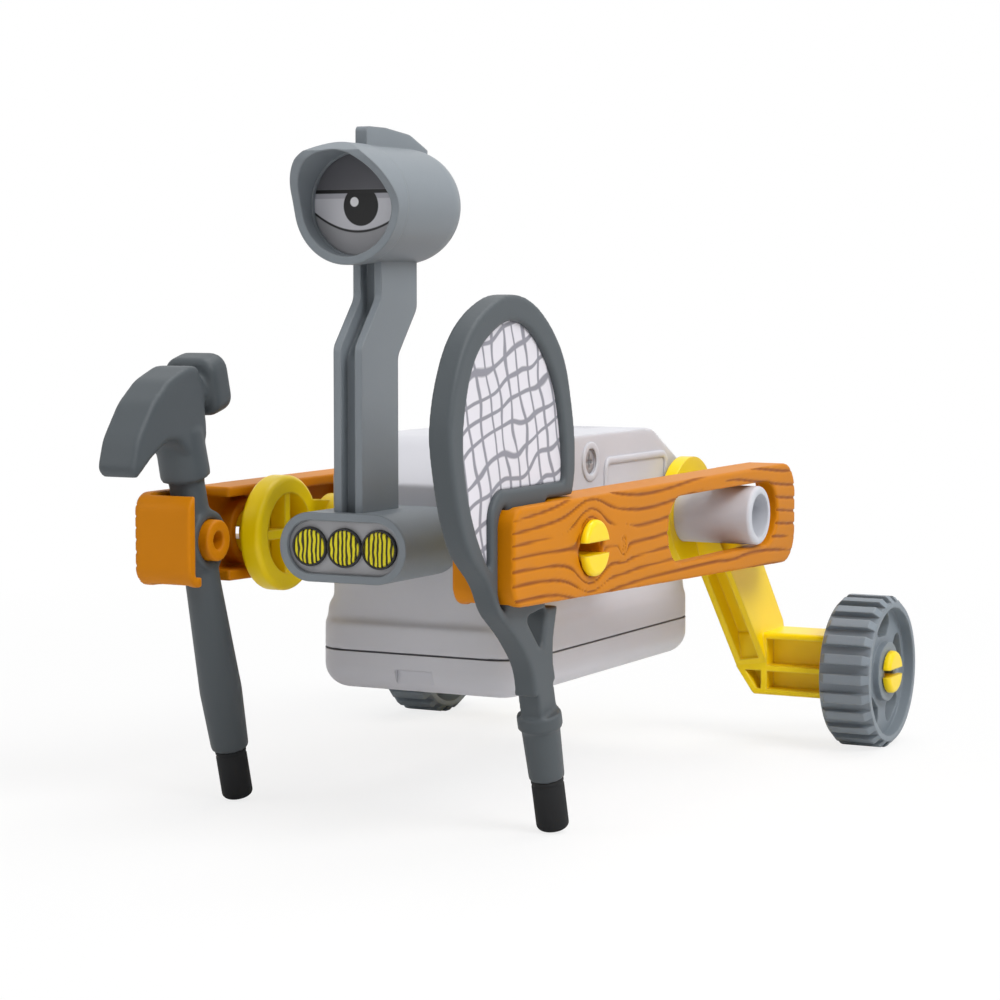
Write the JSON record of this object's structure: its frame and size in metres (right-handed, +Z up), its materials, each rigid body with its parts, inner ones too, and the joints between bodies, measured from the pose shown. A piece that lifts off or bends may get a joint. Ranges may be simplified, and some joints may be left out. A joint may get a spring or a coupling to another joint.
{
  "type": "walking toy robot",
  "caption": "Walking toy robot with a hooded eye on a neck, a hammer and a racket as legs on crank-driven arms, and two rear wheels.",
  "frame": {"origin": "on the ground under the middle of the robot's outline", "axes": "+Z up, -Y to the robot's front, +X to the robot's left"},
  "size_m": [0.1328, 0.192, 0.141],
  "materials": {
    "white_shell": "satin",
    "tube_plastic": "satin",
    "inner_plastic": "satin",
    "cell": "satin",
    "spring_steel": "satin",
    "steel": "satin",
    "motor_steel": "satin",
    "gear_plastic": "satin",
    "board": "satin",
    "black_plastic": "satin",
    "orange_plastic": "satin",
    "yellow_plastic": "satin",
    "wheel_plastic": "satin",
    "slate_plastic": "satin",
    "foot_rubber": "matte",
    "string_sheet": "satin",
    "grey_plastic": "satin",
    "panel_plastic": "satin",
    "lens_plastic": "gloss",
    "eye_sheet": "satin"
  },
  "bodies": {
    "module": {"battery_1": "cell", "battery_2": "cell", "battery_tray": "inner_plastic", "circuit_board": "board", "contact_front": "spring_steel", "contact_rear": "spring_steel", "eye_disc": "eye_sheet", "gear_frame": "inner_plastic", "head_shell": "grey_plastic", "housing_screws": "steel", "lamp_housing": "grey_plastic", "lamp_lens_left": "lens_plastic", "lamp_lens_middle": "lens_plastic", "lamp_lens_right": "lens_plastic", "lamp_panel": "panel_plastic", "left_guide_tube": "tube_plastic", "left_leg": "yellow_plastic", "left_wheel_pin": "yellow_plastic", "motor": "motor_steel", "neck": "grey_plastic", "right_guide_tube": "tube_plastic", "right_leg": "yellow_plastic", "right_wheel_pin": "yellow_plastic", "switch_base": "inner_plastic", "upper_housing": "white_shell", "visor_hood": "grey_plastic"},
    "cover": {"battery_cover": "white_shell"},
    "knob": {"power_switch": "black_plastic"},
    "worm": {"motor_worm": "gear_plastic"},
    "drive": {"drive_shaft": "steel", "output_gear": "gear_plastic", "left_crank": "yellow_plastic", "right_crank": "yellow_plastic", "left_crank_pin": "yellow_plastic", "right_crank_pin": "yellow_plastic"},
    "left_arm_body": {"left_arm": "orange_plastic", "racket_frame": "slate_plastic", "racket_strings": "string_sheet", "racket_foot": "foot_rubber"},
    "right_arm_body": {"right_arm": "orange_plastic", "hammer": "slate_plastic", "hammer_foot": "foot_rubber"},
    "left_wheel_body": {"left_wheel": "wheel_plastic"},
    "right_wheel_body": {"right_wheel": "wheel_plastic"}
  },
  "joints": [
    {"name": "drive_turn", "type": "hinge", "parent": "module", "child": "drive", "pos_m": [0, -0.0215, 0.0569], "axis": [-1, 0, 0], "range_deg": [-60, 60]},
    {"name": "left_arm_swing", "type": "hinge", "parent": "drive", "child": "left_arm_body", "pos_m": [0.038, -0.042, 0.0569], "axis": [-1, 0, 0], "range_deg": [-47, 47]},
    {"name": "left_wheel_roll", "type": "hinge", "parent": "module", "child": "left_wheel_body", "pos_m": [0.0592, 0.0781, 0.018], "axis": [1, 0, 0], "continuous": true},
    {"name": "right_arm_swing", "type": "hinge", "parent": "drive", "child": "right_arm_body", "pos_m": [-0.038, -0.042, 0.0569], "axis": [-1, 0, 0], "range_deg": [-47, 47]},
    {"name": "right_wheel_roll", "type": "hinge", "parent": "module", "child": "right_wheel_body", "pos_m": [-0.0592, 0.0781, 0.018], "axis": [1, 0, 0], "continuous": true},
    {"name": "worm_turn", "type": "hinge", "parent": "module", "child": "worm", "pos_m": [0, -0.0215, 0.0445], "axis": [0, 1, 0], "range_deg": [-420, 420]},
    {"name": "cover_drop", "type": "slide", "parent": "module", "child": "cover", "axis": [0, 0, -1], "range_m": [0, 0.011]},
    {"name": "knob_slide", "type": "slide", "parent": "module", "child": "knob", "axis": [0, 1, 0], "range_m": [0, 0.003]}
  ],
  "couplings": [
    {"joint": "left_arm_swing", "follows": "drive_turn", "ratio": -0.778},
    {"joint": "right_arm_swing", "follows": "drive_turn", "ratio": -0.778},
    {"joint": "worm_turn", "follows": "drive_turn", "ratio": 7}
  ]
}
